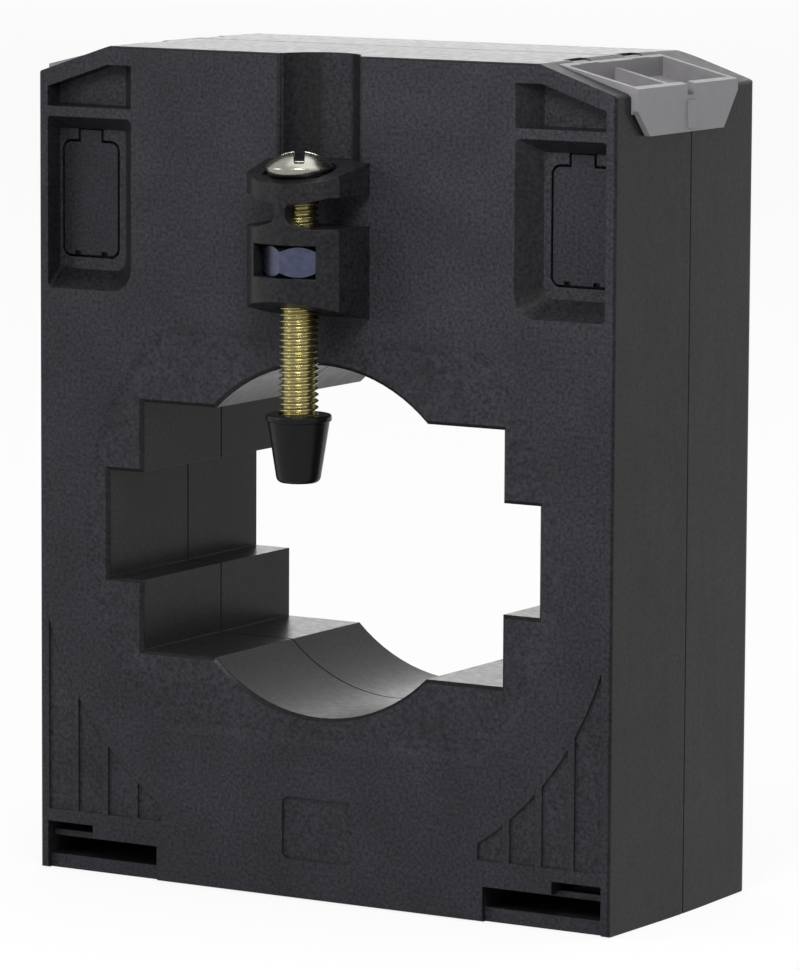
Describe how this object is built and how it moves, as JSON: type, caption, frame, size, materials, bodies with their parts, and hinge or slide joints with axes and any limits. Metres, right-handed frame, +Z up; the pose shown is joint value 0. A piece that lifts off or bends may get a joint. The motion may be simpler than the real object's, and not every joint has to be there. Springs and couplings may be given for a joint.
{
  "type": "plug-on current transformer",
  "caption": "Window-type current transformer with a stepped bus bar and cable opening, a clamp screw on the front and hinged terminal covers.",
  "frame": {"origin": "on the base, under the middle of the housing's width and depth", "axes": "+Z up, +Y from the front face (with the clamp) to the rear face, +X to the right seen from the front"},
  "size_m": [0.0874, 0.0453, 0.1075],
  "materials": {
    "housing_front": "eroded, fine-grained glass-filled moulding",
    "housing_rear": "fine-grained glass-filled moulding",
    "plate": "moulded",
    "cap": "moulded",
    "chromated_steel": "yellow chromated zinc",
    "zinc_steel": "blue passivated zinc",
    "clear_cover": "moulded translucent polycarbonate",
    "brass": "milled",
    "core_strip": "strip-wound silicon steel",
    "ring_plastic": "moulded",
    "copper_wire": "enamelled",
    "tape": "polyester tape",
    "lead": "smooth PVC"
  },
  "bodies": {
    "housing": {"front_shell": "housing_front", "rear_shell": "housing_rear", "access_plate_left": "plate", "access_plate_right": "plate", "clamp_nut": "zinc_steel", "terminal_block_left": "brass", "terminal_block_right": "brass", "core": "core_strip", "core_ring_front": "ring_plastic", "core_ring_rear": "ring_plastic", "secondary_winding": "copper_wire", "winding_tape": "tape", "lead_left": "lead", "lead_right": "lead"},
    "clamp_cap": {"clamp_cap": "cap"},
    "clamp_screw": {"clamp_screw": "chromated_steel"},
    "terminal_cover_left": {"terminal_cover_left": "clear_cover"},
    "terminal_cover_right": {"terminal_cover_right": "clear_cover"},
    "wire_clamp_left_front": {"wire_clamp_left_front": "zinc_steel"},
    "terminal_screw_left_front": {"terminal_screw_left_front": "zinc_steel"},
    "wire_clamp_left_rear": {"wire_clamp_left_rear": "zinc_steel"},
    "terminal_screw_left_rear": {"terminal_screw_left_rear": "zinc_steel"},
    "wire_clamp_right_front": {"wire_clamp_right_front": "zinc_steel"},
    "terminal_screw_right_front": {"terminal_screw_right_front": "zinc_steel"},
    "wire_clamp_right_rear": {"wire_clamp_right_rear": "zinc_steel"},
    "terminal_screw_right_rear": {"terminal_screw_right_rear": "zinc_steel"}
  },
  "joints": [
    {"name": "clamp_lift", "type": "slide", "parent": "housing", "child": "clamp_cap", "axis": [0, 0, 1], "range_m": [0, 0.0112]},
    {"name": "clamp_turn", "type": "hinge", "parent": "clamp_cap", "child": "clamp_screw", "pos_m": [0, -0.0226, 0.075], "axis": [0, 0, 1], "range_deg": [0, 5040]},
    {"name": "cover_left_swing", "type": "hinge", "parent": "housing", "child": "terminal_cover_left", "pos_m": [-0.0313, -0.00145, 0.10675], "axis": [0, 1, 0], "range_deg": [0, 90]},
    {"name": "cover_right_swing", "type": "hinge", "parent": "housing", "child": "terminal_cover_right", "pos_m": [0.0313, -0.00145, 0.10675], "axis": [0, -1, 0], "range_deg": [0, 90]},
    {"name": "wire_clamp_left_front_lift", "type": "slide", "parent": "housing", "child": "wire_clamp_left_front", "axis": [0, 0, 1], "range_m": [0, 0.0018]},
    {"name": "terminal_screw_left_front_turn", "type": "hinge", "parent": "wire_clamp_left_front", "child": "terminal_screw_left_front", "pos_m": [-0.03635, -0.00665, 0.1], "axis": [0, 0, 1], "range_deg": [0, 1080]},
    {"name": "wire_clamp_left_rear_lift", "type": "slide", "parent": "housing", "child": "wire_clamp_left_rear", "axis": [0, 0, 1], "range_m": [0, 0.0018]},
    {"name": "terminal_screw_left_rear_turn", "type": "hinge", "parent": "wire_clamp_left_rear", "child": "terminal_screw_left_rear", "pos_m": [-0.03635, 0.00375, 0.1], "axis": [0, 0, 1], "range_deg": [0, 1080]},
    {"name": "wire_clamp_right_front_lift", "type": "slide", "parent": "housing", "child": "wire_clamp_right_front", "axis": [0, 0, 1], "range_m": [0, 0.0018]},
    {"name": "terminal_screw_right_front_turn", "type": "hinge", "parent": "wire_clamp_right_front", "child": "terminal_screw_right_front", "pos_m": [0.03635, -0.00665, 0.1], "axis": [0, 0, 1], "range_deg": [0, 1080]},
    {"name": "wire_clamp_right_rear_lift", "type": "slide", "parent": "housing", "child": "wire_clamp_right_rear", "axis": [0, 0, 1], "range_m": [0, 0.0018]},
    {"name": "terminal_screw_right_rear_turn", "type": "hinge", "parent": "wire_clamp_right_rear", "child": "terminal_screw_right_rear", "pos_m": [0.03635, 0.00375, 0.1], "axis": [0, 0, 1], "range_deg": [0, 1080]}
  ],
  "couplings": [
    {"joint": "clamp_turn", "follows": "clamp_lift", "rad_per_m": 7854},
    {"joint": "terminal_screw_left_front_turn", "follows": "wire_clamp_left_front_lift", "rad_per_m": 10472},
    {"joint": "terminal_screw_left_rear_turn", "follows": "wire_clamp_left_rear_lift", "rad_per_m": 10472},
    {"joint": "terminal_screw_right_front_turn", "follows": "wire_clamp_right_front_lift", "rad_per_m": 10472},
    {"joint": "terminal_screw_right_rear_turn", "follows": "wire_clamp_right_rear_lift", "rad_per_m": 10472}
  ]
}
